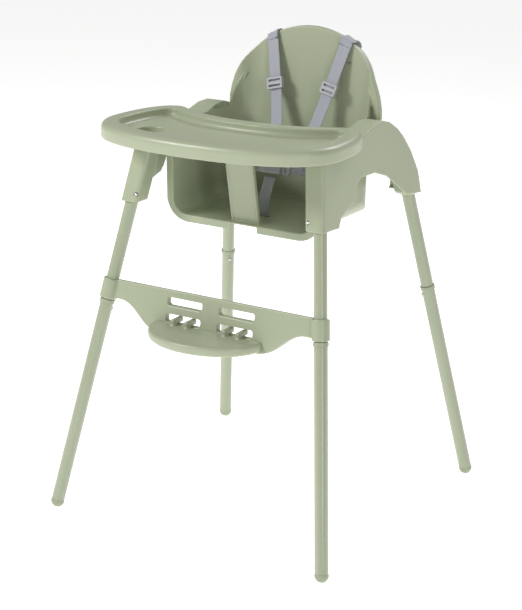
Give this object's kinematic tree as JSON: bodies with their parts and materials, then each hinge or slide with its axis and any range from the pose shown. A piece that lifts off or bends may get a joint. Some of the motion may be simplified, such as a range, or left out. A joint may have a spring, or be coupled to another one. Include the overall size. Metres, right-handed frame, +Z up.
{
  "type": "baby high chair",
  "caption": "Baby high chair: moulded bucket seat with crotch post, lift-off oval tray, harness, and raked two-piece tube legs with a footrest bar.",
  "frame": {"origin": "on the floor, under the middle of the chair's footprint", "axes": "+Z up, -Y the way the seated child faces, +X to the child's left; x = 0 is the plane of symmetry"},
  "size_m": [0.6224, 0.601, 0.898],
  "materials": {
    "sage_plastic": "satin moulded polypropylene, sage green",
    "sage_paint": "gloss powder coat on steel tube, sage green",
    "collar_plastic": "moulded, sage green",
    "foot_plastic": "soft moulded, sage green",
    "spring_steel": "bright spring strip with a pressed button",
    "screw_steel": "zinc plated",
    "webbing": "woven polypropylene webbing, lavender grey",
    "harness_plastic": "moulded acetal, grey"
  },
  "bodies": {
    "frame": {"anchor_screws": "screw_steel", "buckle_body": "harness_plastic", "buckle_tongue_left": "harness_plastic", "buckle_tongue_right": "harness_plastic", "crotch_retainer": "harness_plastic", "crotch_strap": "webbing", "foot_cap_front_left": "foot_plastic", "foot_cap_front_right": "foot_plastic", "foot_cap_rear_left": "foot_plastic", "foot_cap_rear_right": "foot_plastic", "footrest_bar": "sage_plastic", "leg_ring_front_left": "collar_plastic", "leg_ring_front_right": "collar_plastic", "leg_ring_rear_left": "collar_plastic", "leg_ring_rear_right": "collar_plastic", "lower_leg_front_left": "sage_paint", "lower_leg_front_right": "sage_paint", "lower_leg_rear_left": "sage_paint", "lower_leg_rear_right": "sage_paint", "seat_shell": "sage_plastic", "shoulder_anchor_left": "harness_plastic", "shoulder_anchor_right": "harness_plastic", "shoulder_strap_left": "webbing", "shoulder_strap_right": "webbing", "upper_leg_front_left": "sage_paint", "upper_leg_front_right": "sage_paint", "upper_leg_rear_left": "sage_paint", "upper_leg_rear_right": "sage_paint", "waist_retainer_left": "harness_plastic", "waist_retainer_right": "harness_plastic", "waist_strap_left": "webbing", "waist_strap_right": "webbing"},
    "tray": {"tray": "sage_plastic"},
    "foot_plate": {"foot_plate": "sage_plastic"},
    "joint_clip_front_left": {"joint_clip_front_left": "spring_steel"},
    "socket_clip_front_left": {"socket_clip_front_left": "spring_steel"},
    "joint_clip_front_right": {"joint_clip_front_right": "spring_steel"},
    "socket_clip_front_right": {"socket_clip_front_right": "spring_steel"},
    "joint_clip_rear_left": {"joint_clip_rear_left": "spring_steel"},
    "socket_clip_rear_left": {"socket_clip_rear_left": "spring_steel"},
    "joint_clip_rear_right": {"joint_clip_rear_right": "spring_steel"},
    "socket_clip_rear_right": {"socket_clip_rear_right": "spring_steel"},
    "shoulder_adjuster_left": {"shoulder_adjuster_left": "harness_plastic"},
    "shoulder_adjuster_right": {"shoulder_adjuster_right": "harness_plastic"},
    "buckle_button": {"buckle_button": "harness_plastic"}
  },
  "joints": [
    {"name": "tray_slide", "type": "slide", "parent": "frame", "child": "tray", "axis": [0, -1, 0], "range_m": [0, 0.3]},
    {"name": "foot_plate_slide", "type": "slide", "parent": "frame", "child": "foot_plate", "axis": [0, -1, 0], "range_m": [0, 0.06]},
    {"name": "joint_clip_press_front_left", "type": "slide", "parent": "frame", "child": "joint_clip_front_left", "axis": [0.6916, -0.6701, 0.2695], "range_m": [0, 0.0028], "stiffness_N_per_m": 500, "springref_m": -0.001},
    {"name": "socket_clip_press_front_left", "type": "slide", "parent": "frame", "child": "socket_clip_front_left", "axis": [0.7164, 0.6957, -0.0521], "range_m": [0, 0.0028], "stiffness_N_per_m": 500, "springref_m": -0.001},
    {"name": "joint_clip_press_front_right", "type": "slide", "parent": "frame", "child": "joint_clip_front_right", "axis": [-0.6916, -0.6701, 0.2695], "range_m": [0, 0.0028], "stiffness_N_per_m": 500, "springref_m": -0.001},
    {"name": "socket_clip_press_front_right", "type": "slide", "parent": "frame", "child": "socket_clip_front_right", "axis": [-0.7164, 0.6957, -0.0521], "range_m": [0, 0.0028], "stiffness_N_per_m": 500, "springref_m": -0.001},
    {"name": "joint_clip_press_rear_left", "type": "slide", "parent": "frame", "child": "joint_clip_rear_left", "axis": [0.6915, 0.6832, 0.2347], "range_m": [0, 0.0028], "stiffness_N_per_m": 500, "springref_m": -0.001},
    {"name": "socket_clip_press_rear_left", "type": "slide", "parent": "frame", "child": "socket_clip_rear_left", "axis": [0.711, -0.7028, -0.0238], "range_m": [0, 0.0028], "stiffness_N_per_m": 500, "springref_m": -0.001},
    {"name": "joint_clip_press_rear_right", "type": "slide", "parent": "frame", "child": "joint_clip_rear_right", "axis": [-0.6915, 0.6832, 0.2347], "range_m": [0, 0.0028], "stiffness_N_per_m": 500, "springref_m": -0.001},
    {"name": "socket_clip_press_rear_right", "type": "slide", "parent": "frame", "child": "socket_clip_rear_right", "axis": [-0.711, -0.7028, -0.0238], "range_m": [0, 0.0028], "stiffness_N_per_m": 500, "springref_m": -0.001},
    {"name": "adjuster_slide_left", "type": "slide", "parent": "frame", "child": "shoulder_adjuster_left", "axis": [0.2323, 0.287, 0.9293], "range_m": [-0.03, 0.03]},
    {"name": "adjuster_slide_right", "type": "slide", "parent": "frame", "child": "shoulder_adjuster_right", "axis": [-0.2323, 0.287, 0.9293], "range_m": [-0.03, 0.03]},
    {"name": "buckle_button_press", "type": "slide", "parent": "frame", "child": "buckle_button", "axis": [0, 0.9397, -0.342], "range_m": [0, 0.002], "stiffness_N_per_m": 400, "springref_m": -0.001}
  ]
}
